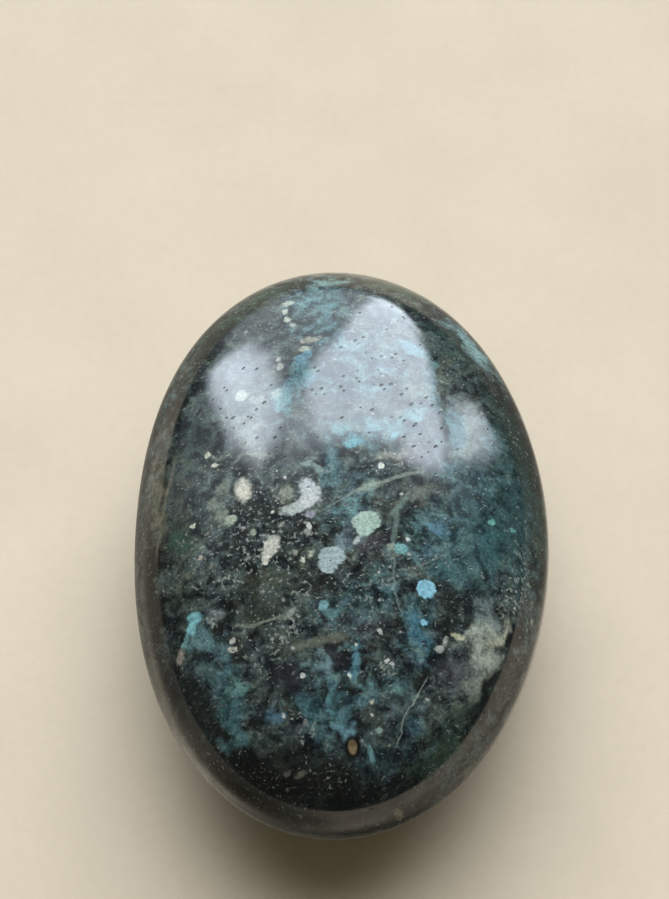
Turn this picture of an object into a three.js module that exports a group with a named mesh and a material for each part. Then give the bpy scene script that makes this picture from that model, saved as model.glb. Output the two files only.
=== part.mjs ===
// A palm stone: one piece of apatite, ground to a flattened egg and polished all over.
// It is a single solid. Millimetres, +Z up. The stone's length runs along Y and its narrower end is
// at -Y. It lies on a small flat on its underside, and the origin is at the middle of that underside.

import * as THREE from 'three';
import { mergeVertices } from 'three/addons/utils/BufferGeometryUtils.js';

// Driving dimensions of the ground form, in millimetres.
const LENGTH = 65.8;
const WIDTH = 44.7;
const THICKNESS = 24.4;

// How much fuller than an ellipsoid the form is, as a share of its radius: at the four corners of
// its plan, and at the shoulder between its faces and its edge.
const CORNER_SWELL = 0.0143;
const SHOULDER_SWELL = 0.034;

// The far end is a little wider than the near one: this share of the half-width at the very tip.
const EGG_TAPER = 0.027;

// Three broad lobes round the edge, left by grinding by hand: their height as a share of the radius,
// how many there are, and how far the first one is turned back from +X, in radians of their cycle.
const LOBE_HEIGHT = 0.012;
const LOBE_COUNT = 3;
const LOBE_TURN = 0.47;

// The flat that the stone lies on: how much is worn off the underside, and over what height its
// edge rounds into the curved face.
const SEAT_DEPTH = 0.32;
const SEAT_ROUNDING = 0.12;

// Long shallow waves left in the surface by the polishing belt: their height and lengths in
// millimetres, and how far each leans towards the next axis.
const WAVE_HEIGHT = 0.05;
const WAVE_LENGTH = { x: 19, y: 27, z: 23 };
const WAVE_LEAN = { x: 0.3, y: -0.4, z: 0.5 };

// The icosahedron's edges are split this many times, which gives facets about a millimetre across.
const FACET_DETAIL = 18;

const FULL_TURN = 2 * Math.PI;
const halfSize = new THREE.Vector3(WIDTH / 2, LENGTH / 2, THICKNESS / 2);

// Puts a point of the unit sphere on the full, unworn form. Each swell is a product of squares, which
// is nil where the form meets its axes and one at its fullest.
function onGroundForm(direction) {
  const x = direction.x ** 2;
  const y = direction.y ** 2;
  const z = direction.z ** 2;
  const corner = 4 * x * y;
  const shoulder = 4 * (x + y) * z;
  const reach = 1 + CORNER_SWELL * corner + SHOULDER_SWELL * shoulder;
  return direction.clone().multiply(halfSize).multiplyScalar(reach);
}

// Swells the edge into its lobes and narrows the near end.
function shapePlan(point) {
  const angle = Math.atan2(point.y, point.x);
  const nearEdge = Math.hypot(point.x, point.y) / point.length();
  const swell = 1 + nearEdge * LOBE_HEIGHT * Math.cos(LOBE_COUNT * angle + LOBE_TURN);
  const taper = 1 + EGG_TAPER * point.y / halfSize.y;
  point.set(point.x * swell * taper, point.y * swell, point.z);
}

// The height of the polishing waves at a point.
function waveAt(point) {
  const alongX = (point.x + WAVE_LEAN.x * point.y) / WAVE_LENGTH.x;
  const alongY = (point.y + WAVE_LEAN.y * point.z) / WAVE_LENGTH.y;
  const alongZ = (point.z + WAVE_LEAN.z * point.x) / WAVE_LENGTH.z;
  const sum = Math.sin(FULL_TURN * alongX) + Math.sin(FULL_TURN * alongY) + Math.cos(FULL_TURN * alongZ);
  return WAVE_HEIGHT * sum / 3;
}

// The larger of two heights, with the corner between them rounded.
function roundedMax(first, second, rounding) {
  const overlap = Math.max(rounding - Math.abs(first - second), 0) / rounding;
  return Math.max(first, second) + overlap * overlap * rounding / 4;
}

function stoneGeometry() {
  const sphere = new THREE.IcosahedronGeometry(1, FACET_DETAIL);
  sphere.deleteAttribute('normal');
  sphere.deleteAttribute('uv');
  const geometry = mergeVertices(sphere);
  const position = geometry.getAttribute('position');
  const seatHeight = SEAT_DEPTH - halfSize.z;
  for (let i = 0; i < position.count; i += 1) {
    const direction = new THREE.Vector3().fromBufferAttribute(position, i).normalize();
    const outward = direction.clone().divide(halfSize).normalize();
    const point = onGroundForm(direction);
    shapePlan(point);
    point.addScaledVector(outward, waveAt(point));
    point.z = roundedMax(point.z, seatHeight, SEAT_ROUNDING);
    position.setXYZ(i, point.x, point.y, point.z);
  }
  geometry.computeBoundingBox();
  const middle = geometry.boundingBox.getCenter(new THREE.Vector3());
  geometry.translate(-middle.x, -middle.y, -seatHeight);
  geometry.computeVertexNormals();
  return geometry;
}

const polishedApatite = new THREE.MeshStandardMaterial({
  color: new THREE.Color(0.055, 0.115, 0.13),
  roughness: 0.12,
  metalness: 0,
});

const palmStone = new THREE.Mesh(stoneGeometry(), polishedApatite);
palmStone.name = 'palm_stone';

const group = new THREE.Group();
group.add(palmStone);

export default group;
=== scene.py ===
"""A polished apatite palm stone on a pale floor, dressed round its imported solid.

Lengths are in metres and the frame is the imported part's: +Z up, the stone's length along Y.
Patterns in the stone are written in millimetres, which suit markings of this size.
"""
from collections import namedtuple
from math import atan2, cos, degrees, pi, radians, sin

import bmesh
import bpy
from bpy.props import FloatProperty, FloatVectorProperty, IntProperty, PointerProperty
from mathutils import Matrix, Vector


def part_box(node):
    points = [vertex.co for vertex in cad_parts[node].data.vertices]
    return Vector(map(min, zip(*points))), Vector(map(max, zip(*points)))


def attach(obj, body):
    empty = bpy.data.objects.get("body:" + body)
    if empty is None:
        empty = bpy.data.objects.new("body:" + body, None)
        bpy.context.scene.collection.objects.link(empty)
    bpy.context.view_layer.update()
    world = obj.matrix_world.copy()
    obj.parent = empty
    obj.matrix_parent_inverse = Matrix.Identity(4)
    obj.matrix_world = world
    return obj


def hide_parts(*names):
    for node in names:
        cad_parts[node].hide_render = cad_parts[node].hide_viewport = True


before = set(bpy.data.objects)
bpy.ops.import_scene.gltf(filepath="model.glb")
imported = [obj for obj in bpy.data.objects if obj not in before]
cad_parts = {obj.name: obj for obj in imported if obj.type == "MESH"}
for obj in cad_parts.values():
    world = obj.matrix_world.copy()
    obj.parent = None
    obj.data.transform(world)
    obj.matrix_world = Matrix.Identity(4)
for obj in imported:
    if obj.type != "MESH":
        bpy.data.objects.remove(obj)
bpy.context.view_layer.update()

bl_info = {
    "name": "Apatite Palm Stone",
    "version": (1, 0, 0),
    "blender": (4, 5, 0),
    "location": "View3D > Sidebar > Palm Stone",
    "description": "Builds a polished apatite palm stone, its floor, its light and its camera",
    "category": "Object",
}

NODE = "palm_stone"
BODY = "root"
SLOT = "polished_apatite"
PIECE = "polished_palm_stone"

STONE_LOW, STONE_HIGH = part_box(NODE)
STONE_SIZE = STONE_HIGH - STONE_LOW
MM = 0.001
FULL_TURN = 2 * pi


# ---- Node formulas ----


class Field:
    """An output of a node tree that can stand in a formula, as a number or a vector."""

    def __init__(self, tree, socket):
        self.tree = tree
        self.socket = socket

    def __add__(self, other):
        return calculate("ADD", self, other)

    def __radd__(self, other):
        return calculate("ADD", other, self)

    def __sub__(self, other):
        return calculate("SUBTRACT", self, other)

    def __rsub__(self, other):
        return calculate("SUBTRACT", other, self)

    def __mul__(self, other):
        return calculate("MULTIPLY", self, other)

    def __truediv__(self, other):
        return calculate("DIVIDE", self, other)

    def __abs__(self):
        return calculate("ABSOLUTE", self)


def feed(tree, socket, value):
    """Links a field to a socket, or sets the socket's plain value."""
    if isinstance(value, Field):
        tree.links.new(value.socket, socket)
    elif socket.type == "VECTOR" and isinstance(value, (int, float)):
        socket.default_value = (value, value, value)
    elif socket.type == "RGBA" and len(value) == 3:
        socket.default_value = (*value, 1.0)
    else:
        socket.default_value = value


def is_vector(value):
    if isinstance(value, Field):
        return value.socket.type in ("VECTOR", "RGBA")
    return not isinstance(value, (int, float))


def calculate(operation, *terms):
    """One arithmetic node over fields and plain values. A number is spread over a vector."""
    tree = next(term.tree for term in terms if isinstance(term, Field))
    kind = "ShaderNodeVectorMath" if any(map(is_vector, terms)) else "ShaderNodeMath"
    node = tree.nodes.new(kind)
    scaling = operation == "MULTIPLY" and is_vector(terms[0]) and not is_vector(terms[-1])
    node.operation = "SCALE" if scaling else operation
    for socket, term in zip((socket for socket in node.inputs if socket.enabled), terms):
        feed(tree, socket, term)
    return Field(tree, node.outputs[0])


def length(vector):
    node = vector.tree.nodes.new("ShaderNodeVectorMath")
    node.operation = "LENGTH"
    feed(vector.tree, node.inputs[0], vector)
    return Field(vector.tree, node.outputs["Value"])


def dot(vector, other):
    node = vector.tree.nodes.new("ShaderNodeVectorMath")
    node.operation = "DOT_PRODUCT"
    feed(vector.tree, node.inputs[0], vector)
    feed(vector.tree, node.inputs[1], other)
    return Field(vector.tree, node.outputs["Value"])


def parts_of(vector):
    node = vector.tree.nodes.new("ShaderNodeSeparateXYZ")
    feed(vector.tree, node.inputs[0], vector)
    return [Field(vector.tree, socket) for socket in node.outputs]


def vector_of(tree, *parts):
    node = tree.nodes.new("ShaderNodeCombineXYZ")
    for socket, part in zip(node.inputs, parts):
        feed(tree, socket, part)
    return Field(tree, node.outputs[0])


def step(value, start, end, low=0.0, high=1.0):
    """Eases from low to high as the value goes from start to end."""
    node = value.tree.nodes.new("ShaderNodeMapRange")
    node.interpolation_type = "SMOOTHSTEP"
    # The smooth step stays between its ends by itself, and a clamp costs the shader another node.
    node.clamp = False
    names = ("Value", "From Min", "From Max", "To Min", "To Max")
    for name, term in zip(names, (value, start, end, low, high)):
        feed(value.tree, node.inputs[name], term)
    return Field(value.tree, node.outputs["Result"])


def new_group(name, kind, inputs, outputs):
    """An empty node group with its sockets, and its inputs as fields."""
    tree = bpy.data.node_groups.new(name, kind)
    for socket_name, socket_kind, default in inputs:
        socket = tree.interface.new_socket(socket_name, in_out="INPUT", socket_type=socket_kind)
        socket.default_value = default
    for socket_name, socket_kind in outputs:
        tree.interface.new_socket(socket_name, in_out="OUTPUT", socket_type=socket_kind)
    start = tree.nodes.new("NodeGroupInput")
    fields = {name: Field(tree, start.outputs[name]) for name, _, _ in inputs}
    return tree, fields, tree.nodes.new("NodeGroupOutput")


# ---- Settings ----


def length_setting(name, description, default):
    return FloatProperty(name=name, description=description, default=default, unit="LENGTH", precision=5)


def share_setting(name, description, default):
    return FloatProperty(name=name, description=description, default=default, precision=4)


def angle_setting(name, description, default):
    return FloatProperty(name=name, description=description, default=default, subtype="ANGLE")


def colour_setting(name, description, default):
    return FloatVectorProperty(name=name, description=description, default=default, subtype="COLOR",
                               size=3, min=0.0, max=1.0)


class StoneFormSettings(bpy.types.PropertyGroup):
    length: length_setting("Length", "Stone's length, along Y", STONE_SIZE.y)
    width: length_setting("Width", "Stone's width, along X", STONE_SIZE.x)
    thickness: length_setting("Thickness", "Stone's thickness, along Z", STONE_SIZE.z)
    corner_swell: share_setting("Corner Swell", "Fullness at the plan's corners, of the radius", 0.0143)
    shoulder_swell: share_setting("Shoulder Swell", "Fullness between face and edge, of the radius", 0.034)
    egg_taper: share_setting("Egg Taper", "How much wider the far tip is, of the half-width", 0.027)
    lobe_height: share_setting("Lobe Height", "Height of the three lobes, of the radius", 0.012)
    lobe_turn: angle_setting("Lobe Turn", "How far the first lobe is turned back, of its cycle", 0.47)
    seat_depth: length_setting("Seat Depth", "How much is worn off the underside", 0.32 * MM)
    seat_rounding: length_setting("Seat Rounding", "Height over which the flat's edge rounds", 0.12 * MM)
    wave_height: length_setting("Wave Height", "Height of the polishing waves", 0.05 * MM)
    grid: IntProperty(name="Grid", description="Points along each side of the cube that is blown up",
                      default=116, min=8, max=128)


class StoneFinishSettings(bpy.types.PropertyGroup):
    polish: share_setting("Polish", "Roughness of the best polished places", 0.07)
    teal_strength: share_setting("Teal Strength", "How strongly the teal clouds cover the dark stone", 0.9)
    pinhole_depth: length_setting("Pinhole Depth", "Depth of the small pinholes", 0.03 * MM)


class StageSettings(bpy.types.PropertyGroup):
    floor_colour: colour_setting("Floor Colour", "Pale stone slab", (0.613, 0.559, 0.459))
    camera_elevation: angle_setting("Camera Elevation", "Height of the camera over the floor", radians(65))
    camera_distance: length_setting("Camera Distance", "From the stone's middle", 163 * MM)
    camera_lens: FloatProperty(name="Lens", description="Focal length in millimetres", default=60.07)


# ---- The stone's form ----

LOBE_COUNT = 3
WAVE_LENGTHS = (19 * MM, 27 * MM, 23 * MM)
WAVE_LEANS = (0.3, -0.4, 0.5)
# The inputs of the form's rule. All but the last two are settings of the same names.
FORM_INPUTS = {
    **dict.fromkeys(("Length", "Width", "Thickness", "Corner Swell", "Shoulder Swell", "Egg Taper",
                     "Lobe Height", "Lobe Turn", "Seat Depth", "Seat Rounding", "Wave Height"),
                    "NodeSocketFloat"),
    "Grid": "NodeSocketInt",
    "Low Corner": "NodeSocketVector",
    "Material": "NodeSocketMaterial",
}
# The tan pit: the radius of the patch of finer mesh that it is sunk in, how often that patch's edges
# are cut, and how deep the pit is.
PATCH_RADIUS = 1.6 * MM
PATCH_CUTS = 5
TAN_PIT_DEPTH = 0.16 * MM


def ground_form(direction, half, setting):
    """Puts the points of a unit sphere on the full form, before its underside is worn flat."""
    tree = direction.tree
    x, y, z = parts_of(direction * direction)
    corner = x * y * 4
    shoulder = (x + y) * z * 4
    reach = 1 + setting["Corner Swell"] * corner + setting["Shoulder Swell"] * shoulder
    point = direction * half * reach
    x, y, z = parts_of(point)
    near_edge = length(vector_of(tree, x, y, 0.0)) / length(point)
    turn = calculate("ARCTAN2", y, x) * LOBE_COUNT + setting["Lobe Turn"]
    swell = 1 + near_edge * setting["Lobe Height"] * calculate("COSINE", turn)
    taper = 1 + setting["Egg Taper"] * y / parts_of(half)[1]
    return vector_of(tree, x * swell * taper, y * swell, z)


def polishing_waves(point, height):
    """The height of the long shallow waves that the belt left."""
    x, y, z = parts_of(point)
    phases = (x + y * WAVE_LEANS[0], y + z * WAVE_LEANS[1], z + x * WAVE_LEANS[2])
    along_x, along_y, along_z = (phase * (FULL_TURN / span) for phase, span in zip(phases, WAVE_LENGTHS))
    waves = calculate("SINE", along_x) + calculate("SINE", along_y) + calculate("COSINE", along_z)
    return height * waves / 3


def rounded_max(first, second, rounding):
    """The larger of two heights, with the corner between them rounded."""
    overlap = calculate("MAXIMUM", rounding - abs(first - second), 0.0) / rounding
    return calculate("MAXIMUM", first, second) + overlap * overlap * rounding / 4


def form_values(form, material):
    """What each input of the form's rule is set to."""
    values = {"Low Corner": tuple(STONE_LOW), "Material": material}
    for name in FORM_INPUTS:
        if name not in values:
            values[name] = getattr(form, name.lower().replace(" ", "_"))
    return values


def build_form_tree(values):
    """The stone as a rule: a cube's grid is blown up to a sphere, ground to an egg and set on its seat."""
    inputs = [(name, kind, values[name]) for name, kind in FORM_INPUTS.items()]
    outputs = [("Stone", "NodeSocketGeometry")]
    tree, setting, end = new_group("Palm Stone Form", "GeometryNodeTree", inputs, outputs)
    tree.is_modifier = True
    cube = tree.nodes.new("GeometryNodeMeshCube")
    cube.inputs["Size"].default_value = (2, 2, 2)
    for side in ("Vertices X", "Vertices Y", "Vertices Z"):
        feed(tree, cube.inputs[side], setting["Grid"])
    position = Field(tree, tree.nodes.new("GeometryNodeInputPosition").outputs[0])
    direction = calculate("NORMALIZE", calculate("TANGENT", position * (pi / 4)))
    size = vector_of(tree, setting["Width"], setting["Length"], setting["Thickness"])
    half = size * 0.5
    outward = calculate("NORMALIZE", direction / half)
    point = ground_form(direction, half, setting)
    point = point + outward * polishing_waves(point, setting["Wave Height"])
    x, y, z = parts_of(point)
    seat = setting["Seat Depth"] - parts_of(half)[2]
    shaped = move_points(tree, cube.outputs["Mesh"],
                         vector_of(tree, x, y, rounded_max(z, seat, setting["Seat Rounding"])))
    box = tree.nodes.new("GeometryNodeBoundBox")
    tree.links.new(shaped, box.inputs["Geometry"])
    low = Field(tree, box.outputs["Min"])
    high = Field(tree, box.outputs["Max"])
    seated = move_points(tree, shaped, (position - low) / (high - low) * size + setting["Low Corner"])
    smooth = tree.nodes.new("GeometryNodeSetShadeSmooth")
    realize = tree.nodes.new("GeometryNodeRealizeInstances")
    dress = tree.nodes.new("GeometryNodeSetMaterial")
    feed(tree, dress.inputs["Material"], setting["Material"])
    tree.links.new(seated, smooth.inputs["Geometry"])
    tree.links.new(smooth.outputs["Geometry"], realize.inputs["Geometry"])
    tree.links.new(realize.outputs["Geometry"], dress.inputs["Geometry"])
    tree.links.new(dress.outputs["Geometry"], end.inputs["Stone"])
    return tree


def move_points(tree, geometry, places):
    node = tree.nodes.new("GeometryNodeSetPosition")
    tree.links.new(geometry, node.inputs["Geometry"])
    feed(tree, node.inputs["Position"], places)
    return node.outputs["Geometry"]


def make_stone(form, material):
    """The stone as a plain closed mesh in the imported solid's box."""
    values = form_values(form, material)
    tree = build_form_tree(values)
    seed = bpy.data.objects.new(PIECE + "_rule", bpy.data.meshes.new(PIECE + "_rule"))
    bpy.context.scene.collection.objects.link(seed)
    rule = seed.modifiers.new("Palm Stone Form", "NODES")
    rule.node_group = tree
    for item in tree.interface.items_tree:
        if item.in_out == "INPUT":
            rule[item.identifier] = values[item.name]
    depsgraph = bpy.context.evaluated_depsgraph_get()
    mesh = bpy.data.meshes.new_from_object(seed.evaluated_get(depsgraph), depsgraph=depsgraph)
    mesh.name = PIECE
    bpy.data.objects.remove(seed)
    dig_pit(mesh, TAN_PIT_DENT_AND_SHADE)
    stone = bpy.data.objects.new(PIECE, mesh)
    bpy.context.scene.collection.objects.link(stone)
    return stone


def dig_pit(mesh, pit):
    """Sinks a small open pit into the upper face, on a finer patch of the mesh."""
    patch = bmesh.new()
    patch.from_mesh(mesh)
    middle = Vector((pit.x, pit.y, top_height(pit.x, pit.y))) * MM
    near = [face for face in patch.faces if (face.calc_center_median() - middle).length < PATCH_RADIUS]
    edges = {edge for face in near for edge in face.edges}
    bmesh.ops.subdivide_edges(patch, edges=list(edges), cuts=PATCH_CUTS, use_grid_fill=True, smooth=1.0)
    patch.normal_update()
    turn_back = Matrix.Rotation(-radians(pit.turn), 2)
    for point in patch.verts:
        if (point.co - middle).length < PATCH_RADIUS:
            offset = turn_back @ ((point.co - middle).xy / MM)
            inward = 1 - (2 * offset.x / pit.long) ** 2 - (2 * offset.y / pit.wide) ** 2
            point.co -= point.normal * (TAN_PIT_DEPTH * max(inward, 0.0) ** 2)
    patch.to_mesh(mesh)
    patch.free()


# ---- The stone's finish: colours ----

APATITE_IOR = 1.63

BLACK = (0.009, 0.011, 0.011)
UMBER = (0.006, 0.0055, 0.004)
PLUM = (0.020, 0.020, 0.028)
OLIVE = (0.049, 0.055, 0.042)
MOSS = (0.026, 0.048, 0.035)
TEAL = (0.064, 0.134, 0.158)
SKY = (0.165, 0.355, 0.46)
PALE_BLUE = (0.235, 0.315, 0.34)
PALE_GREEN = (0.255, 0.365, 0.335)
LICHEN = (0.285, 0.335, 0.300)
CREAM = (0.43, 0.45, 0.40)
CHALK = (0.45, 0.51, 0.50)
TAN = (0.16, 0.125, 0.075)

# Colours along a noise, each from its own value on.
MATRIX_RAMP = ((0.30, (0.006, 0.0075, 0.0085)), (0.42, (0.016, 0.021, 0.0225)),
               (0.50, (0.035, 0.046, 0.046)), (0.58, (0.054, 0.070, 0.069)), (0.72, (0.105, 0.132, 0.125)))
TEAL_RAMP = ((0.30, (0.009, 0.019, 0.024)), (0.42, (0.020, 0.043, 0.051)),
             (0.50, (0.041, 0.081, 0.095)), (0.58, (0.063, 0.118, 0.136)), (0.72, (0.108, 0.188, 0.210)))
# What the dark stone and its clouds are multiplied by along a noise.
TINT_RAMP = ((0.30, (1.00, 0.87, 0.82)), (0.44, (0.87, 0.95, 0.86)), (0.52, (0.86, 0.92, 0.92)),
             (0.60, (0.79, 0.93, 1.00)), (0.72, (0.98, 0.87, 1.00)))
# What the pale side of the fine noise multiplies every colour by.
GRAIN = (1.6, 1.6, 1.6)


# ---- The stone's finish: where its markings lie ----

# A mark is an ellipse on the upper face: its middle, its length and width in millimetres, the way its
# length points in degrees from +X, over how much of its radius it fades, how much it covers, and its
# colour, unless it is part of a cloud. A line runs through its points, in millimetres too: all are
# veins but the left rim's, which is a painted reflection of the floor's edge. Their names label their
# nodes.
Mark = namedtuple("Mark", "name x y long wide turn edge cover colour", defaults=(1.0, None))
LineMark = namedtuple("LineMark", "name points width colour cover")

TEAL_CLOUDS = (
    Mark("lower left top", -13.4, -15.6, 5.0, 3.2, -20, 1.2, 0.78),
    Mark("lower left middle", -11.6, -19.4, 6.5, 3.4, -62, 1.3, 0.74),
    Mark("lower left bottom", -10.6, -23.0, 6.6, 4.0, 90, 1.3, 0.74),
    Mark("lower middle", -2.8, -22.6, 7.6, 3.6, 110, 1.3, 0.9),
    Mark("lower column", -0.3, -22.2, 8.0, 2.6, 98, 1.3),
    Mark("blue column", 1.3, -18.8, 5.6, 1.7, 95, 1.1, 0.95),
    Mark("lower shelf", 2.4, -22.0, 3.6, 2.2, 0, 1.3, 0.9),
    Mark("foot", 2.8, -27.4, 5.0, 5.0, 90, 1.5, 0.7),
    Mark("right of the foot", 6.4, -24.4, 5.0, 5.0, 0, 1.6, 0.55),
    Mark("lower right", 5.2, -20.4, 5.6, 4.4, 0, 1.5, 0.7),
    Mark("blue drip", 7.4, -15.6, 7.6, 2.8, 95, 1.4, 0.85),
    Mark("under the disc", 8.2, -13.4, 4.0, 1.6, 90, 1.3, 0.8),
    Mark("right field, top", 13.4, 0.6, 12.0, 7.0, 120, 1.5, 0.75),
    Mark("right field, middle", 12.4, -5.2, 12.0, 8.0, 100, 1.5, 0.85),
    Mark("right field, left", 8.2, -5.6, 8.0, 4.0, 95, 1.4, 0.8),
    Mark("right edge", 18.0, -3.0, 16.0, 5.0, 98, 1.5, 0.7),
    Mark("right upper", 16.6, 5.6, 8.0, 4.4, 95, 1.5, 0.75),
    Mark("middle wash", 0.8, -3.0, 5.6, 3.6, 30, 1.4, 0.8),
    Mark("middle streak", -1.3, 1.4, 7.0, 1.8, 92, 1.2, 0.9),
    Mark("middle veil", 2.0, 0.6, 6.0, 3.6, 20, 1.5, 0.65),
    Mark("middle low", 1.0, -13.2, 7.0, 5.0, 20, 1.5, 0.6),
    Mark("beside the curved vein", 4.2, -10.8, 7.0, 3.6, 80, 1.5, 0.6),
    Mark("top column", -1.6, 25.4, 9.0, 4.0, 90, 1.4, 0.9),
    Mark("top left", -4.2, 24.0, 5.0, 4.4, 0, 1.5, 0.85),
    Mark("top middle", -2.0, 20.0, 8.0, 6.0, 0, 1.6, 0.7),
    Mark("upper stripe", -4.8, 12.2, 8.4, 3.2, 68, 1.2),
    Mark("upper middle", 1.6, 14.6, 12.0, 9.0, 60, 1.6, 0.7),
    Mark("right of the pane", 9.4, 12.4, 11.0, 2.0, 92, 1.2, 0.9),
    Mark("upper row", 2.6, 6.2, 10.5, 4.0, 4, 1.4, 0.9),
    Mark("lower left of the right glow", 11.6, 7.4, 6.0, 2.2, 90, 1.2, 0.85),
    Mark("right rim", 14.6, 19.6, 9.0, 2.0, -54, 1.4, 0.85),
    Mark("far left rim", -18.6, 13.6, 8.0, 2.6, 62, 1.5, 0.5),
)

DARK_CLOUDS = (
    Mark("lower end", -2.0, -31.4, 26.0, 8.6, 0, 1.0),
    Mark("lower left end", -11.0, -27.0, 12.0, 4.6, -38, 1.1, 0.95),
    Mark("lower left rim", -15.6, -20.4, 14.0, 3.8, -52, 1.2),
    Mark("left rim", -19.6, -9.0, 16.0, 2.4, 96, 1.1),
    Mark("left of the cyan", -16.6, -14.6, 6.0, 1.6, -70, 1.1, 0.8),
    Mark("beside the glaze", -11.8, -13.8, 4.4, 1.8, 95, 0.9),
    Mark("under the glaze", -10.0, -17.2, 3.6, 2.8, 80, 1.1, 0.9),
    Mark("right of the disc", 11.6, -12.0, 6.6, 5.2, -10, 1.4, 0.9),
    Mark("right of the pale patch", 16.2, -17.6, 10.0, 2.2, 63, 1.1),
    Mark("lower right rim", 13.4, -22.6, 8.0, 1.8, 50, 1.2, 0.8),
    Mark("plum left", -4.9, -20.2, 4.4, 3.2, 10, 1.2, 0.95),
    Mark("plum middle", -0.7, -17.5, 2.8, 2.0, 90, 1.1, 0.85),
    Mark("navy hook", 0.3, -20.6, 3.0, 1.3, 92, 0.9, 0.95),
    Mark("below the hook", 1.6, -24.6, 2.0, 3.4, 0, 1.3, 0.7),
    Mark("between the blues", -8.0, -23.6, 4.6, 2.6, 60, 1.4, 0.7),
    Mark("right upper rim", 18.8, 9.0, 16.0, 4.0, 106, 1.2),
    Mark("upper rim", 12.6, 20.0, 12.0, 3.2, -52, 1.2, 0.95),
    Mark("upper rim's end", 15.6, 14.0, 7.0, 2.2, -64, 1.2, 0.85),
    Mark("left upper rim", -14.6, 18.6, 12.0, 3.2, 52, 1.2, 0.95),
    Mark("left upper corner", -17.4, 12.6, 8.0, 2.4, 64, 1.2, 0.8),
    Mark("middle left", -8.8, -2.6, 6.6, 2.6, 10, 1.3, 0.85),
    Mark("left of the cream", -10.8, 2.6, 6.0, 2.2, 0, 1.4, 0.7),
    Mark("middle", -4.6, -5.0, 5.0, 2.4, 0, 1.4, 0.8),
    Mark("right of the green blob", 4.4, -6.4, 4.0, 2.2, 20, 1.3, 0.8),
    Mark("below the disc", -2.6, -11.2, 3.8, 2.4, 0, 1.3, 0.75),
    Mark("above the right field", 8.8, 3.0, 4.0, 2.0, 10, 1.2, 0.7),
    Mark("under the field", 8.0, -18.8, 5.0, 3.4, 30, 1.5, 0.55),
)

OLIVE_CLOUDS = (
    Mark("middle", -7.2, -10.6, 7.0, 3.0, 8, 1.4, 0.95),
    Mark("glaze", -8.0, -13.2, 6.4, 2.8, 5, 1.0),
    Mark("middle right", -3.6, -9.6, 5.0, 4.0, 0, 1.5, 0.6),
    Mark("left flank", -17.2, -3.0, 20.0, 5.6, 95, 1.5, 0.85),
    Mark("under the left vein", -5.6, -16.6, 5.0, 2.4, 10, 1.4, 0.8),
    Mark("lower left", -14.4, -21.6, 9.0, 2.4, -55, 1.4, 0.7),
    Mark("above the right field", 8.4, -0.6, 4.8, 2.6, 10, 1.4, 0.8),
    Mark("top left", -9.5, 22.5, 8.0, 5.0, 30, 1.6, 0.8),
    Mark("lower middle", -4.6, -22.6, 1.8, 4.4, 20, 1.4, 0.7),
    Mark("beside the upper right glow", 10.9, 16.4, 1.8, 4.0, 10, 1.2, 0.8),
)

MOSS_CLOUDS = (
    Mark("lower right", 10.0, -25.2, 6.4, 3.4, 50, 1.3),
    Mark("lower right, inner", 8.0, -27.4, 5.0, 3.0, 30, 1.4, 0.8),
    Mark("right of the pale patch", 13.6, -21.4, 4.0, 2.4, 60, 1.4, 0.8),
    Mark("left", -16.6, -4.9, 3.6, 2.6, 100, 1.2),
    Mark("top right", 6.6, 27.8, 9.0, 2.6, -12, 1.4),
    Mark("top left", -8.6, 26.8, 8.0, 2.8, 28, 1.4, 0.9),
    Mark("left shoulder", -14.0, 21.6, 9.0, 3.0, 48, 1.5, 0.9),
    Mark("right rim", 19.6, 3.0, 20.0, 3.6, 100, 1.5, 0.9),
    Mark("right field", 15.6, -2.0, 7.0, 4.6, 100, 1.5, 0.6),
    Mark("left upper", -15.6, 6.0, 9.0, 3.6, 80, 1.6, 0.6),
    Mark("middle", 3.4, -9.6, 3.4, 2.4, 60, 1.4, 0.7),
)

SPECK_CLOUDS = (
    Mark("left", -9.0, -5.0, 15.0, 12.0, 100, 1.6, 0.80),
    Mark("above the glaze", -10.0, -9.4, 7.0, 3.4, 15, 1.4, 1.1),
    Mark("beside the white patch", -6.6, -1.6, 4.6, 4.0, 20, 1.3, 1.1),
    Mark("by the tilted cream", -8.8, -7.2, 2.2, 2.4, 60, 1.2, 1.3),
    Mark("under the white patch", -3.3, -5.2, 1.2, 3.4, 0, 1.2, 1.2),
    Mark("by the pale disc", -4.2, -8.4, 2.6, 3.0, 0, 1.3, 1.2),
    Mark("wisps", -3.8, -11.4, 2.2, 1.6, 40, 1.2, 1.2),
    Mark("lower cream", -6.0, -16.2, 4.6, 1.8, 95, 1.2, 1.4),
    Mark("glaze's end", -4.9, -14.0, 2.6, 1.8, 60, 1.2, 1.3),
    Mark("lower specks", -7.6, -18.2, 5.0, 3.4, -60, 1.5, 0.8),
    Mark("beside the lower left cyan", -12.9, -13.4, 2.2, 2.2, 0, 1.1, 1.35),
    Mark("above the lower left cyan", -15.0, -10.6, 2.4, 1.2, 0, 1.2, 1.2),
    Mark("right cluster top", 17.2, -11.0, 3.4, 2.0, 60, 1.2, 1.3),
    Mark("right cluster", 16.2, -14.2, 4.4, 1.6, 72, 1.2, 1.35),
    Mark("right edge", 18.4, -7.4, 8.0, 2.6, 90, 1.5, 0.9),
    Mark("middle band", 4.6, 2.8, 7.0, 2.6, 12, 1.3, 1.2),
    Mark("middle", 2.6, -11.0, 9.0, 8.0, 90, 1.7, 0.65),
    Mark("lower cluster", -3.8, -24.6, 4.0, 1.3, -62, 1.1, 1.5),
    Mark("white cluster", 4.5, -18.6, 2.0, 1.6, 30, 1.1, 1.3),
    Mark("foot", -1.0, -28.6, 10.0, 1.8, 0, 1.5, 0.4),
)

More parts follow.
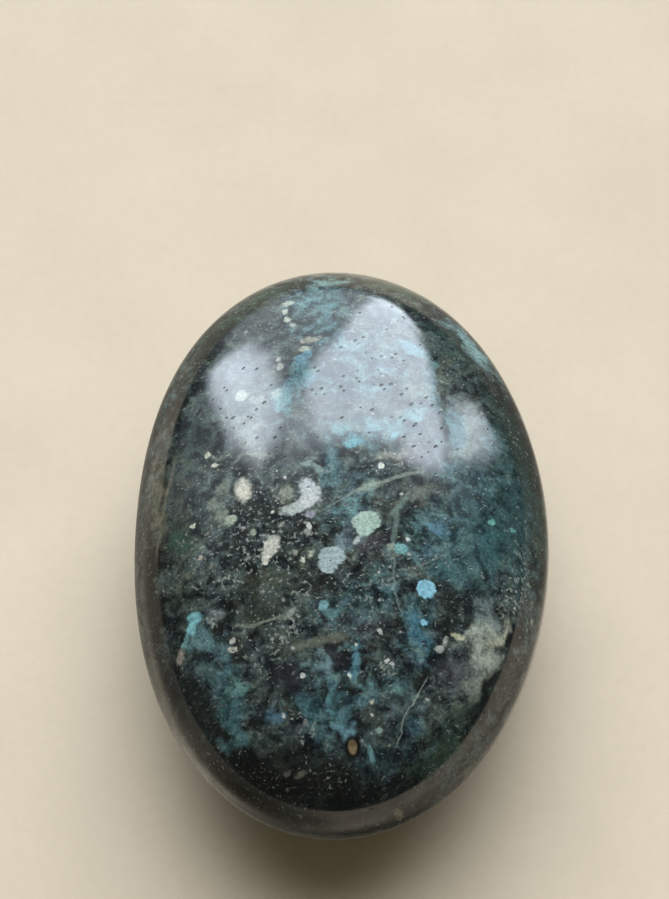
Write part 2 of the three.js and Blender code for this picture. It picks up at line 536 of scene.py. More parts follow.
PINHOLE_CLOUDS = (
    Mark("middle of the pane", -0.4, 8.6, 3.0, 2.2, 20, 1.2),
    Mark("left highlight", -10.2, 7.2, 5.4, 3.4, -10, 1.4),
    Mark("left highlight's foot", -8.0, 5.4, 4.0, 3.0, -10, 1.4, 0.8),
    Mark("pane", 3.4, 12.6, 9.0, 6.0, 40, 1.7, 0.7),
    Mark("pane's foot", 8.6, 5.8, 4.4, 4.4, 40, 1.5, 0.9),
)

SOFT_MARKS = (
    Mark("brown lower end", -5.0, -28.6, 16.0, 5.0, 0, 1.4, 0.82, UMBER),
    Mark("brown left rim", -19.2, -9.5, 16.0, 2.2, 96, 1.2, 0.7, UMBER),
    Mark("plum left", -4.9, -20.2, 3.8, 2.6, 10, 1.2, 0.7, PLUM),
    Mark("plum middle", -0.7, -17.6, 2.4, 1.8, 90, 1.1, 0.6, PLUM),
    Mark("plum above", 3.2, -6.6, 2.6, 1.6, 0, 1.2, 0.7, (0.036, 0.032, 0.042)),
    Mark("plum under the highlight", 7.4, 3.2, 3.6, 1.6, 10, 1.2, 0.7, (0.050, 0.046, 0.056)),
    Mark("pale patch", 13.7, -16.6, 6.6, 2.9, 72, 0.9, 0.88, LICHEN),
    Mark("pale patch's arm", 13.6, -15.2, 4.6, 1.7, 22, 0.9, 0.80, LICHEN),
    Mark("pale patch's top", 16.0, -14.2, 3.4, 1.2, 66, 0.9, 0.80, (0.30, 0.34, 0.27)),
    Mark("pale patch's foot", 13.0, -19.9, 3.0, 1.6, 80, 1.1, 0.60, (0.16, 0.19, 0.17)),
    Mark("grey-blue cloud", 14.6, -12.7, 2.8, 2.2, 80, 1.0, 0.60, (0.16, 0.22, 0.235)),
    Mark("grey cloud", 0.4, -6.4, 2.6, 1.8, 20, 1.0, 0.70, (0.13, 0.20, 0.245)),
    Mark("teal over the green blob", 0.9, -3.1, 2.6, 1.5, -20, 1.0, 0.65, (0.12, 0.25, 0.27)),
    Mark("violet under the patch", 10.9, -19.0, 3.4, 2.8, 60, 1.3, 0.60, (0.085, 0.092, 0.110)),
    Mark("violet middle", 2.6, -14.8, 3.4, 2.2, 20, 1.3, 0.50, (0.075, 0.085, 0.100)),
    Mark("olive over the field", 8.6, -0.8, 3.8, 1.8, 10, 1.2, 0.55, (0.12, 0.145, 0.125)),
    Mark("grey patch under the highlight", 5.6, 3.4, 3.4, 1.1, 12, 1.0, 0.60, (0.21, 0.225, 0.205)),
    Mark("green streak", -12.3, -1.2, 4.6, 1.2, 82, 1.0, 0.75, (0.13, 0.165, 0.140)),
    Mark("pale in the left highlight", -9.2, 6.0, 4.0, 2.2, 95, 1.1, 0.70, (0.16, 0.195, 0.185)),
    Mark("pale under the left highlight", -9.0, 3.8, 3.2, 1.0, 10, 1.0, 0.75, (0.160, 0.184, 0.160)),
    Mark("pale in the right highlight", 13.3, 8.2, 5.4, 3.2, 80, 1.2, 0.60, (0.18, 0.22, 0.21)),
    Mark("pale under the right highlight", 12.6, 5.0, 3.0, 1.7, 60, 1.2, 0.60, (0.170, 0.208, 0.187)),
    Mark("band under the highlight", -2.8, 1.7, 2.6, 0.9, 5, 0.9, 0.65, (0.17, 0.26, 0.26)),
    Mark("green over the left vein", -0.6, 1.0, 1.4, 3.8, 10, 1.2, 0.6, TEAL),
    Mark("brightest of the lower middle", 0.3, -24.8, 2.0, 1.3, -15, 0.9, 0.85, (0.17, 0.33, 0.43)),
    Mark("lower column", -0.4, -22.6, 4.8, 1.3, 98, 1.1, 0.75, (0.075, 0.175, 0.205)),
    Mark("blue column", 1.35, -18.6, 4.2, 0.95, 95, 0.8, 0.80, (0.080, 0.190, 0.240)),
    Mark("lower middle top", -2.2, -18.9, 1.6, 1.3, 60, 1.0, 0.65, (0.13, 0.22, 0.25)),
    Mark("shelf", 2.3, -21.6, 1.8, 0.8, 5, 0.9, 0.75, (0.13, 0.26, 0.27)),
    Mark("teal blot", 3.4, -21.3, 1.0, 1.0, 0, 1.0, 0.65, (0.10, 0.21, 0.22)),
    Mark("teal blot at the right", 5.5, -21.2, 1.4, 1.2, 0, 1.0, 0.70, (0.105, 0.215, 0.215)),
    Mark("blue blot", 6.5, -24.4, 1.6, 1.4, 0, 1.1, 0.70, (0.035, 0.080, 0.110)),
    Mark("lower left cyan", -14.7, -13.9, 2.0, 1.3, 98, 0.8, 0.90, (0.155, 0.365, 0.42)),
    Mark("lower left cyan's foot", -15.2, -15.2, 1.2, 0.8, 60, 0.9, 0.75, (0.14, 0.30, 0.32)),
    Mark("beside the lower left cyan", -12.8, -13.3, 1.7, 1.6, 0, 1.0, 0.60, (0.14, 0.175, 0.185)),
    Mark("lower left haze", -12.8, -16.2, 3.6, 1.9, -25, 1.2, 0.70, (0.085, 0.165, 0.185)),
    Mark("lower left edge", -13.6, -20.5, 7.0, 2.2, -62, 1.2, 0.60, (0.012, 0.018, 0.018)),
    Mark("lower left glow", -10.4, -20.6, 1.9, 1.3, 30, 1.1, 0.70, (0.11, 0.24, 0.24)),
    Mark("lower left deep", -11.2, -22.6, 3.0, 1.9, 90, 1.2, 0.70, (0.040, 0.110, 0.125)),
    Mark("lower left foot", -10.6, -25.0, 2.2, 1.8, 0, 1.1, 0.70, (0.085, 0.185, 0.205)),
    Mark("lower patch", -6.4, -23.7, 1.9, 1.3, 20, 1.0, 0.75, (0.062, 0.140, 0.210)),
    Mark("teal of the lower middle", -3.2, -22.4, 3.6, 1.9, 110, 1.3, 0.60, (0.050, 0.120, 0.140)),
    Mark("right blue", 9.7, -4.7, 2.4, 1.2, 20, 1.0, 0.75, (0.070, 0.170, 0.240)),
    Mark("right grey-teal", 12.2, -6.2, 2.6, 1.6, 20, 1.2, 0.55, (0.095, 0.175, 0.180)),
    Mark("right grey-teal, low", 12.8, -9.0, 2.4, 1.4, 0, 1.2, 0.50, (0.090, 0.165, 0.165)),
    Mark("right flank", 18.3, -1.5, 17.0, 4.2, 90, 1.2, 0.75, (0.015, 0.035, 0.037)),
    Mark("right wash", 14.2, -3.5, 13.0, 7.0, 84, 1.5, 0.50, (0.027, 0.062, 0.068)),
    Mark("upper right wash", 11.5, 19.0, 9.0, 4.5, 124, 1.3, 0.60, (0.026, 0.052, 0.048)),
    Mark("right flank, upper", 17.4, 9.0, 10.0, 3.0, 112, 1.2, 0.70, (0.014, 0.028, 0.026)),
    Mark("right deep teal", 15.2, -5.6, 4.0, 3.0, 80, 1.4, 0.60, (0.024, 0.075, 0.082)),
    Mark("right lower teal", 10.4, -9.0, 3.0, 2.0, 0, 1.3, 0.60, (0.040, 0.105, 0.120)),
    Mark("blue under the disc", 7.6, -15.2, 3.4, 1.2, 98, 1.1, 0.75, (0.045, 0.125, 0.175)),
    Mark("green in the left", -16.7, -4.9, 2.2, 1.5, 110, 1.1, 0.70, (0.030, 0.062, 0.045)),
    Mark("stripe's top", -4.0, 15.5, 2.2, 1.5, 70, 1.0, 0.85, (0.068, 0.174, 0.234)),
    Mark("stripe", -4.7, 12.4, 4.6, 1.9, 68, 1.1, 0.85, (0.052, 0.144, 0.172)),
    Mark("stripe's foot", -5.6, 9.8, 2.2, 1.5, 60, 1.0, 0.80, (0.071, 0.177, 0.192)),
    Mark("upper blue", 0.2, 17.5, 2.6, 1.7, 90, 1.1, 0.70, (0.081, 0.180, 0.205)),
    Mark("right blue of the pane", 7.3, 17.6, 3.2, 2.0, -20, 1.0, 0.85, (0.068, 0.180, 0.223)),
    Mark("pane's middle blue", 3.2, 11.2, 3.4, 1.6, 5, 1.1, 0.65, (0.090, 0.180, 0.204)),
    Mark("row, right end", 7.4, 8.7, 2.6, 1.8, 30, 0.9, 0.85, (0.093, 0.215, 0.249)),
    Mark("row, middle", 4.6, 7.1, 5.4, 1.5, -4, 1.0, 0.80, (0.090, 0.204, 0.240)),
    Mark("row, left end", -0.6, 6.3, 2.8, 1.2, -5, 1.0, 0.80, (0.085, 0.195, 0.215)),
    Mark("row, lowest", 1.2, 4.9, 2.2, 1.4, 10, 0.8, 0.90, (0.086, 0.252, 0.310)),
    Mark("row, low right", 5.4, 5.6, 1.7, 1.2, 10, 0.8, 0.90, (0.106, 0.257, 0.310)),
    Mark("blue beside the pane's foot", 11.6, 7.4, 3.4, 1.2, 90, 1.2, 0.70, (0.064, 0.160, 0.192)),
    Mark("top teal", -3.6, 25.0, 2.6, 1.8, 60, 1.2, 0.70, (0.095, 0.205, 0.215)),
    Mark("top teal column", -1.5, 22.4, 3.6, 1.4, 85, 1.2, 0.65, (0.080, 0.185, 0.205)),
    Mark("top pale teal", -0.6, 28.0, 3.4, 1.4, 5, 1.2, 0.60, (0.12, 0.205, 0.200)),
    Mark("rim streak", 14.4, 19.9, 7.5, 1.9, -54, 1.3, 0.75, (0.16, 0.27, 0.285)),
    # Painted reflection, not a marking: the warm band where the left flank mirrors the edge of the pale
    # floor.
    Mark("left rim band", -19.4, 0.6, 10.0, 1.1, 96, 1.0, 0.60, (0.10, 0.10, 0.07)),
)

CHIPS = (
    Mark("pale blue disc", -1.0, -8.0, 2.6, 2.0, 0, 0.22, 0.95, PALE_BLUE),
    Mark("pale blue disc's point", -1.4, -8.9, 1.9, 1.9, 0, 0.24, 0.95, PALE_BLUE),
    Mark("green blob", 2.5, -4.3, 2.9, 2.2, 10, 0.30, 0.95, PALE_GREEN),
    Mark("green blob's foot", 2.2, -5.1, 1.6, 1.4, 90, 0.30, 0.95, PALE_GREEN),
    Mark("sky blue disc", 8.3, -11.1, 1.9, 1.9, 0, 0.22, 1.0, SKY),
    Mark("cream blob", -10.1, -0.3, 2.4, 1.6, 98, 0.70, 0.88, CREAM),
    Mark("cream blob's foot", -9.7, -1.0, 1.1, 1.2, 0, 0.60, 0.70, CREAM),
    Mark("green blob at left", -11.3, -3.6, 1.3, 1.0, 20, 0.60, 0.85, (0.27, 0.33, 0.27)),
    Mark("green blob's arm", -12.0, -3.0, 1.2, 0.8, 60, 0.80, 0.75, (0.15, 0.185, 0.15)),
    Mark("white patch", -3.2, -0.9, 2.9, 1.8, -60, 0.65, 0.88, (0.36, 0.42, 0.46)),
    Mark("white patch's arm", -4.7, -2.7, 3.0, 1.25, 18, 0.65, 0.88, (0.30, 0.36, 0.36)),
    Mark("white patch's elbow", -3.5, -2.0, 1.8, 1.5, 60, 0.65, 0.85, (0.38, 0.43, 0.45)),
    Mark("white patch's tail", -3.2, -3.5, 0.9, 0.9, 90, 0.60, 0.80, (0.20, 0.22, 0.27)),
    Mark("pale blob beside it", -5.6, -1.1, 1.9, 1.3, 80, 1.00, 0.75, (0.20, 0.235, 0.20)),
    Mark("tilted cream", -7.1, -6.9, 2.5, 1.5, 62, 0.50, 0.90, (0.37, 0.40, 0.37)),
    Mark("tilted cream's tip", -7.6, -8.2, 0.9, 0.8, 60, 0.45, 0.85, (0.48, 0.50, 0.46)),
    Mark("cyan spot", 5.8, -7.1, 1.4, 1.1, 0, 0.60, 0.90, (0.13, 0.30, 0.32)),
    Mark("cyan spot's pale side", 4.9, -6.9, 0.8, 0.7, 30, 0.70, 0.75, (0.24, 0.30, 0.26)),
    Mark("dot over the cyan spot", 6.6, -6.1, 0.35, 0.35, 0, 0.60, 0.80, CHALK),
    Mark("cyan spot at the middle", -1.8, -13.1, 1.1, 0.9, 60, 0.70, 0.85, (0.14, 0.29, 0.33)),
    Mark("cyan spot's drip", -1.0, -13.9, 1.3, 0.9, 0, 1.00, 0.70, (0.070, 0.160, 0.175)),
    Mark("teal dot", 15.3, -3.1, 0.70, 0.65, 0, 0.60, 0.85, (0.10, 0.30, 0.27)),
    Mark("second teal dot", 17.5, -3.4, 0.50, 0.45, 0, 0.70, 0.70, (0.10, 0.25, 0.25)),
    Mark("drip under the disc", 8.0, -14.5, 0.65, 0.65, 0, 0.60, 0.85, (0.18, 0.42, 0.56)),
    Mark("white by the pale patch", 9.5, -16.9, 0.9, 0.7, 30, 0.90, 0.70, (0.34, 0.38, 0.37)),
    Mark("white's tail", 10.1, -16.1, 1.0, 0.35, 70, 0.80, 0.70, (0.30, 0.34, 0.32)),
    Mark("cream by the pale patch", 11.4, -15.5, 1.3, 0.6, -10, 0.70, 0.85, (0.38, 0.40, 0.29)),
    Mark("white by the cluster", 4.3, -18.4, 0.45, 0.4, 0, 0.60, 0.80, CHALK),
    Mark("white by the cluster, right", 4.9, -18.6, 0.5, 0.3, 0, 0.70, 0.80, (0.42, 0.44, 0.48)),
    Mark("white over the middle", 3.7, -15.6, 0.7, 0.45, -40, 0.60, 0.65, CHALK),
    Mark("pink-grey fleck", -16.0, -16.8, 1.6, 0.7, 80, 0.70, 0.80, (0.22, 0.205, 0.185)),
    Mark("two white spots' upper", -10.7, -16.1, 0.6, 0.45, 0, 0.60, 0.80, CREAM),
    Mark("two white spots' lower", -10.7, -17.0, 0.9, 0.6, -20, 0.70, 0.70, CREAM),
    Mark("teal streak", 2.8, -26.8, 1.7, 0.5, 108, 0.80, 0.85, (0.12, 0.25, 0.28)),
    Mark("mint", 3.5, -24.7, 0.7, 0.5, 10, 0.60, 0.85, (0.24, 0.37, 0.34)),
    Mark("fleck on the blue patch", -5.6, -23.4, 0.35, 0.45, 0, 0.60, 0.70, CHALK),
    Mark("dot by the plum", -3.8, -19.8, 0.55, 0.5, 0, 0.60, 0.75, CHALK),
    Mark("dot in the hook", 0.7, -19.8, 0.35, 0.35, 0, 0.60, 0.80, CHALK),
    Mark("dot over the hook", 1.3, -16.9, 0.35, 0.35, 0, 0.60, 0.85, CREAM),
    Mark("dot low", 2.8, -22.2, 0.40, 0.35, 0, 0.60, 0.80, CREAM),
    Mark("dot lower", 2.8, -23.4, 0.35, 0.30, 0, 0.60, 0.75, CREAM),
    Mark("dot by the crack", 8.3, -21.7, 0.45, 0.4, 0, 0.70, 0.75, (0.34, 0.36, 0.34)),
    Mark("grey by the foot", -4.0, -28.5, 1.1, 0.5, 20, 0.90, 0.80, (0.11, 0.11, 0.10)),
    Mark("grey by the foot, left", -5.3, -28.4, 0.8, 0.5, 20, 0.90, 0.80, (0.09, 0.09, 0.08)),
    Mark("tan on the rim", 5.5, -31.2, 0.9, 0.55, 0, 0.80, 0.60, (0.22, 0.20, 0.16)),
    Mark("white disc", -10.6, 11.2, 1.4, 1.4, 0, 0.40, 0.85, (0.245, 0.286, 0.258)),
    Mark("pale green", -6.9, 11.0, 1.4, 1.0, 50, 0.80, 0.70, (0.203, 0.277, 0.255)),
    Mark("pale green's left", -9.0, 10.4, 1.6, 1.0, 0, 1.00, 0.50, (0.200, 0.256, 0.240)),
    Mark("white spot, left end", -14.0, 4.3, 0.65, 0.6, 0, 0.60, 0.90, (0.36, 0.38, 0.33)),
    Mark("white spot, left", -13.2, 2.9, 0.6, 0.55, 0, 0.60, 0.90, (0.42, 0.44, 0.40)),
    Mark("white spot, far left", -15.2, -3.6, 0.55, 0.6, 0, 0.60, 0.85, (0.40, 0.42, 0.36)),
    Mark("white spot, low", -14.2, -7.3, 0.55, 0.5, 0, 0.60, 0.85, (0.38, 0.37, 0.32)),
    Mark("white spot, middle", -9.9, -4.6, 0.6, 0.45, 0, 0.70, 0.80, (0.25, 0.25, 0.26)),
    Mark("grey spot", -8.9, -5.2, 0.8, 0.6, 60, 0.80, 0.80, (0.20, 0.24, 0.20)),
    Mark("white spot, above", -7.0, -3.1, 0.4, 0.35, 0, 0.60, 0.80, CREAM),
    Mark("white spot, upper middle", 4.0, 2.0, 0.5, 0.75, 0, 0.45, 0.95, CHALK),
    Mark("spot under the patch", -3.3, -4.8, 0.45, 0.7, 10, 0.60, 0.80, (0.42, 0.46, 0.44)),
    Mark("spot under that", -3.4, -5.5, 0.7, 0.7, 0, 0.80, 0.75, (0.22, 0.26, 0.24)),
    Mark("spot by the pale disc", -3.9, -8.4, 0.5, 0.45, 0, 0.60, 0.80, CREAM),
    Mark("spot by the pale disc's top", -3.1, -7.8, 0.75, 0.6, 40, 0.80, 0.80, (0.30, 0.34, 0.28)),
    Mark("spot by the green blob", 1.6, -6.2, 0.9, 0.5, 50, 0.80, 0.75, (0.33, 0.40, 0.41)),
    Mark("spot right of the row", 6.0, -1.1, 0.4, 0.4, 0, 0.70, 0.75, (0.30, 0.36, 0.34)),
    Mark("fleck, top", -6.0, 24.3, 1.3, 0.8, 10, 0.80, 0.80, (0.281, 0.332, 0.289)),
    Mark("fleck, second", -6.3, 22.9, 0.6, 0.9, 0, 0.70, 0.80, (0.306, 0.357, 0.306)),
    Mark("fleck, third", -6.0, 21.6, 0.7, 0.9, 30, 0.70, 0.80, (0.306, 0.357, 0.315)),
    Mark("fleck, fourth", -5.4, 20.6, 0.6, 0.8, 20, 0.70, 0.75, (0.272, 0.323, 0.281)),
    Mark("fleck, cream", -4.0, 16.9, 1.3, 0.7, 0, 0.70, 0.75, (0.272, 0.304, 0.256)),
    Mark("fleck, tan", -3.4, 18.2, 2.0, 0.8, 10, 1.10, 0.60, (0.27, 0.28, 0.24)),
    Mark("fleck, fifth", -6.8, 15.7, 0.55, 0.6, 0, 0.60, 0.75, (0.281, 0.315, 0.297)),
    Mark("fleck, sixth", -6.6, 14.6, 0.65, 1.1, 0, 0.60, 0.75, (0.281, 0.306, 0.281)),
)

VEINS_AND_PAINTED_REFLECTION = (
    LineMark("upper", ((0.3, -1.6), (1.8, -0.7), (3.8, 0.0), (5.8, 0.9), (8.0, 1.6)),
         0.40, (0.19, 0.24, 0.21), 0.55),
    LineMark("upper's head", ((1.9, -0.8), (3.8, 0.0)), 0.95, (0.22, 0.28, 0.24), 0.60),
    LineMark("curved top", ((6.7, -1.0), (5.6, -3.0), (5.3, -5.0), (5.0, -7.0)),
         0.55, (0.12, 0.18, 0.165), 0.50),
    LineMark("curved foot", ((5.2, -8.0), (5.1, -11.0), (5.6, -13.2)), 0.26, (0.13, 0.19, 0.18), 0.50),
    LineMark("beside the disc", ((5.4, -9.4), (7.4, -8.9), (8.6, -8.3), (10.2, -7.4)),
         0.20, (0.13, 0.16, 0.16), 0.45),
    LineMark("beside the white patch", ((-2.2, -3.2), (-0.6, -2.2), (1.0, -1.2)),
         0.22, (0.12, 0.17, 0.17), 0.45),
    LineMark("left", ((-10.6, -14.7), (-9.3, -14.9), (-7.2, -14.4), (-5.2, -14.1)),
         0.34, (0.15, 0.18, 0.15), 0.60),
    LineMark("left's white end", ((-5.3, -14.1), (-4.7, -13.3)), 0.45, (0.26, 0.29, 0.27), 0.60),
    LineMark("lower", ((-4.6, -17.2), (-3.2, -16.8), (-1.6, -16.4), (0.2, -16.2)),
         0.85, (0.100, 0.115, 0.092), 0.70),
    LineMark("crack", ((8.1, -20.0), (7.0, -21.8), (5.8, -23.6), (5.6, -25.0), (5.3, -25.9)),
         0.17, (0.18, 0.225, 0.225), 0.65),
    LineMark("crack's middle", ((7.4, -21.1), (6.8, -22.2)), 0.24, (0.21, 0.26, 0.26), 0.60),
    # Painted reflection, not a vein: the edge of the pale floor as the left flank mirrors it, drawn as a
    # warm line.
    LineMark("left rim", ((-17.6, 4.5), (-18.3, 1.0), (-18.7, -2.0), (-19.0, -5.5)),
         0.42, (0.12, 0.12, 0.095), 0.45),
)

# A small open pit with tan grit in it, sunk over the wider ellipse, which is darkened as painted shade on
# the pit's walls.
TAN_PIT = Mark("tan pit", 1.0, -26.2, 1.3, 0.85, 96, 0.5, 1.0, TAN)
TAN_PIT_DENT_AND_SHADE = TAN_PIT._replace(name="tan pit's lip", long=2.1, wide=1.6, cover=0.95, colour=UMBER)


def top_height(x, y):
    """Where the upper face lies over a place in plan, in millimetres, on the plain ellipsoid."""
    half = STONE_SIZE / 2 / MM
    rise = max(0.0, 1 - (x / half.x) ** 2 - (y / half.y) ** 2) ** 0.5
    return STONE_LOW.z / MM + half.z * (1 + rise)


# ---- The stone's finish: patterns ----

# A noise: the size of its features, how many finer layers it has and how strong those are, and which
# way and how far it is drawn out. Sizes here are in millimetres, turns in degrees.
Noise = namedtuple("Noise", "size detail roughness turn stretch", defaults=(2.0, 0.5, 0.0, 1.0))
BROAD = Noise(5.0)
MIDDLING = Noise(1.3, 3.0, 0.55)
FINE = Noise(0.30)
TINTS = Noise(1.4, 3.0, 0.6)
WISPS = Noise(0.20, 1.0, turn=24, stretch=9.0)
GRIT = Noise(0.42, 2.0, 0.62)
# How much the fine noise adds to the middling one.
FINE_SHARE = 0.16

# What tears the edges of what is drawn on a place: a noise, and how far it moves them.
Tear = namedtuple("Tear", "noise reach")
SMEARED = Tear(Noise(2.2, 1.0), 1.0)
TORN = Tear(Noise(2.4, 3.0), 2.2)
FRAYED = Tear(Noise(0.45), 0.27)
WAVED = Tear(Noise(1.1), 0.25)

# How a colour's clouds are laid: how much the mottle adds to them, at which sum they start and which
# is full, and how strongly they cover. Teal has a ramp in place of one colour, and its strength is a
# setting.
Layer = namedtuple("Layer", "clouds colour mottling start full strength", defaults=(None,))
OLIVE_LAYER = Layer(OLIVE_CLOUDS, OLIVE, 1.2, 0.15, 1.0, 0.50)
MOSS_LAYER = Layer(MOSS_CLOUDS, MOSS, 1.2, 0.15, 1.0, 0.75)
TEAL_LAYER = Layer(TEAL_CLOUDS, None, 1.2, 0.10, 0.95)
DARK_LAYER = Layer(DARK_CLOUDS, BLACK, -1.0, 0.10, 1.0, 0.80)
# How much the broad noise shades the dark stone.
BROAD_SHADING = 0.45
# The cover of a teal cloud that has the ramp's plain shades, and how much paler a thicker one is.
TEAL_PLAIN = 0.8
TEAL_PALING = 0.08
# Between these two values of the mottle the soft marks grow from this share of their cover to all of it.
PATCHINESS = (0.34, 0.56, 0.45, 1.0)

# Round soft spots: their spacing, their smallest and largest radius, how a crowd of them raises the
# share of places that has one, that share without a crowd, their darkest and palest colour, and how
# strongly they cover.
Spots = namedtuple("Spots", "spacing smallest largest crowding share dark pale strength")
BLOTS = Spots(1.5, 0.12, 0.34, 0.45, 0.02, (0.10, 0.125, 0.115), (0.33, 0.36, 0.32), 0.70)
DOTS = Spots(0.95, 0.08, 0.20, 0.50, -0.01, (0.14, 0.18, 0.18), (0.48, 0.52, 0.50), 0.85)
# A spot fades in between these shares of its radius, and chance decides on it within this blur.
SPOT_EDGE = (1.4, 0.4)
CHANCE_BLUR = 0.02

# Wisps come in over a range of their own noise, in places that the broad noise picks. Grit comes in
# over a range of its noise, which a crowd of specks raises.
WISP_COLOUR = (0.15, 0.19, 0.18)
WISP_RANGE = (0.60, 0.78)
WISP_PLACES = (0.44, 0.60)
WISP_STRENGTH = 0.35
GRIT_COLOUR = (0.25, 0.29, 0.275)
GRIT_RANGE = (0.62, 0.76)
GRIT_CROWDING = 0.10
GRIT_STRENGTH = 0.60
# How the grit crumbles the chips' edges: so many times itself, less an even part.
CRUMBLE = 3.0
CRUMBLE_BASE = 0.4
# The grain comes in between these values of the fine noise.
GRAIN_RANGE = (0.30, 0.70)

# Pinholes in the polish: their spacing, which way and how far they are drawn out, their outer and
# inner radius as shares of that spacing, for the smallest and how much more for the largest, how much
# a crowd adds to their chances, and the chances that make none and one.
PINHOLE_SPACING = 0.54
PINHOLE_TURN = 35
PINHOLE_STRETCH = 1.8
PINHOLE_OUTER = (0.16, 0.16)
PINHOLE_INNER = (0.05, 0.14)
PINHOLE_CROWDING = 0.62
PINHOLE_CHANCES = (0.80, 0.84)
# How strongly black covers the pinholes: painted shade, for pits that mirror little light.
PINHOLE_PAINTED_SHADE = 0.68

# The polish: from which to which broad noise it grows duller, how much duller, and what dots and
# pinholes add to its roughness.
DULLING_RANGE = (0.35, 0.7)
DULLING = 1.7
DOT_ROUGHNESS = 0.06
PINHOLE_ROUGHNESS = 0.30

# How far a mark reaches above and below its middle, in millimetres.
MARK_DEPTH = 5.0
# Stretches of a line overlap by this much of their length, so that they join.
LINE_OVERLAP = 1.25


def noise(place, kind, output="Fac"):
    """Cloudy noise of that kind, from 0 to 1."""
    tree = place.tree
    node = tree.nodes.new("ShaderNodeTexNoise")
    lean(node, kind.turn, kind.stretch)
    feed(tree, node.inputs["Vector"], place)
    feed(tree, node.inputs["Scale"], 1 / kind.size)
    feed(tree, node.inputs["Detail"], kind.detail)
    feed(tree, node.inputs["Roughness"], kind.roughness)
    return Field(tree, node.outputs[output])


def shake(place, tear):
    """Moves a place by up to about half the tear's reach, so that what is drawn on it has torn edges."""
    return place + (noise(place, tear.noise, "Color") - 0.5) * (2 * tear.reach)


def lay(under, over, cover, how="MIX"):
    """One colour laid over another. Colours keep to these nodes, so that none has to be converted."""
    tree = next(term.tree for term in (under, over, cover) if isinstance(term, Field))
    node = tree.nodes.new("ShaderNodeMix")
    node.data_type = "RGBA"
    node.blend_type = how
    sockets = [socket for socket in node.inputs if socket.enabled]
    for socket, term in zip(sockets, (cover, under, over)):
        feed(tree, socket, term)
    return Field(tree, next(socket for socket in node.outputs if socket.enabled))


def ramp(value, stops):
    """Colour that runs through the stops as the value grows."""
    node = value.tree.nodes.new("ShaderNodeValToRGB")
    feed(value.tree, node.inputs["Fac"], value)
    elements = node.color_ramp.elements
    while len(elements) < len(stops):
        elements.new(1.0)
    for element, (position, colour) in zip(elements, stops):
        element.position = position
        element.color = (*colour, 1.0)
    return Field(value.tree, node.outputs["Color"])


def cells(place, size, turn=0.0, stretch=1.0):
    """Cells of about that size: the distance to the nearest centre, and three numbers by chance."""
    tree = place.tree
    node = tree.nodes.new("ShaderNodeTexVoronoi")
    lean(node, turn, stretch)
    feed(tree, node.inputs["Vector"], place)
    feed(tree, node.inputs["Scale"], 1 / size)
    split = tree.nodes.new("ShaderNodeSeparateColor")
    tree.links.new(node.outputs["Color"], split.inputs[0])
    return [Field(tree, socket) for socket in (node.outputs["Distance"], *split.outputs)]


def lean(texture, turn, stretch):
    """Draws a texture out along one direction of the plan."""
    texture.texture_mapping.vector_type = "TEXTURE"
    texture.texture_mapping.rotation = (0.0, 0.0, radians(turn))
    texture.texture_mapping.scale = (stretch, 1.0, 1.0)


def mark_cover(place, mark, torn=1.0):
    """The mark's own cover inside its ellipse, easing to zero across its edge, which may be torn."""
    tree = place.tree
    grown = 1 + mark.edge / 2
    node = tree.nodes.new("ShaderNodeTexGradient")
    node.label = mark.name
    node.gradient_type = "SPHERICAL"
    node.texture_mapping.vector_type = "TEXTURE"
    node.texture_mapping.translation = (mark.x, mark.y, top_height(mark.x, mark.y))
    node.texture_mapping.rotation = (0.0, 0.0, radians(mark.turn))
    node.texture_mapping.scale = Vector((mark.long / 2, mark.wide / 2, MARK_DEPTH)) * grown
    feed(tree, node.inputs["Vector"], place)
    return step(Field(tree, node.outputs["Fac"]) * torn, 0.0, mark.edge / grown, 0.0, mark.cover)


def line_marks(line):
    """A thin ellipse for each stretch of the line."""
    for (x, y), (next_x, next_y) in zip(line.points, line.points[1:]):
        run = Vector((next_x - x, next_y - y))
        turn = degrees(atan2(run.y, run.x))
        yield Mark(line.name, (x + next_x) / 2, (y + next_y) / 2, run.length * LINE_OVERLAP, line.width,
                   turn, 1.0, line.cover, line.colour)


def most_of(fields):
    """The largest of several fields."""
    most = None
    for field in fields:
        most = field if most is None else calculate("MAXIMUM", most, field)
    return most


def cloud(place, marks):
    """Where any of the marks lies, each as strongly as it covers."""
    return most_of(mark_cover(place, mark) for mark in marks)


def spots(place, kind, crowd):
    """Where round soft spots of that kind lie, and a number by chance for each one's shade."""
    share = crowd * kind.crowding + kind.share
    far, chance, width, shade = cells(place, kind.spacing)
    growth = (kind.largest - kind.smallest) / kind.spacing
    reach = width * growth + kind.smallest / kind.spacing
    round_spot = step(far, reach * SPOT_EDGE[0], reach * SPOT_EDGE[1])
    return round_spot * step(chance + share, 1 - CHANCE_BLUR, 1 + CHANCE_BLUR), shade


def pinholes(place, torn):
    """Where the small pinholes lie: short dashes that all lean one way."""
    crowd = cloud(torn, PINHOLE_CLOUDS)
    far, chance, width, _ = cells(place, PINHOLE_SPACING, PINHOLE_TURN, PINHOLE_STRETCH)
    outer, outer_growth = PINHOLE_OUTER
    inner, inner_growth = PINHOLE_INNER
    dashes = step(far, width * outer_growth + outer, width * inner_growth + inner)
    return dashes * step(chance + crowd * PINHOLE_CROWDING, *PINHOLE_CHANCES)


def lay_clouds(under, torn, mottle, layer):
    """Lays a layer's clouds in its colour or, where it has none, in the ramp of teals."""
    clouds = cloud(torn, layer.clouds)
    colour = layer.colour or ramp(mottle + (clouds - TEAL_PLAIN) * TEAL_PALING, TEAL_RAMP)
    cover = step(clouds + (mottle - 0.5) * layer.mottling, layer.start, layer.full)
    return lay(under, colour, cover * layer.strength)


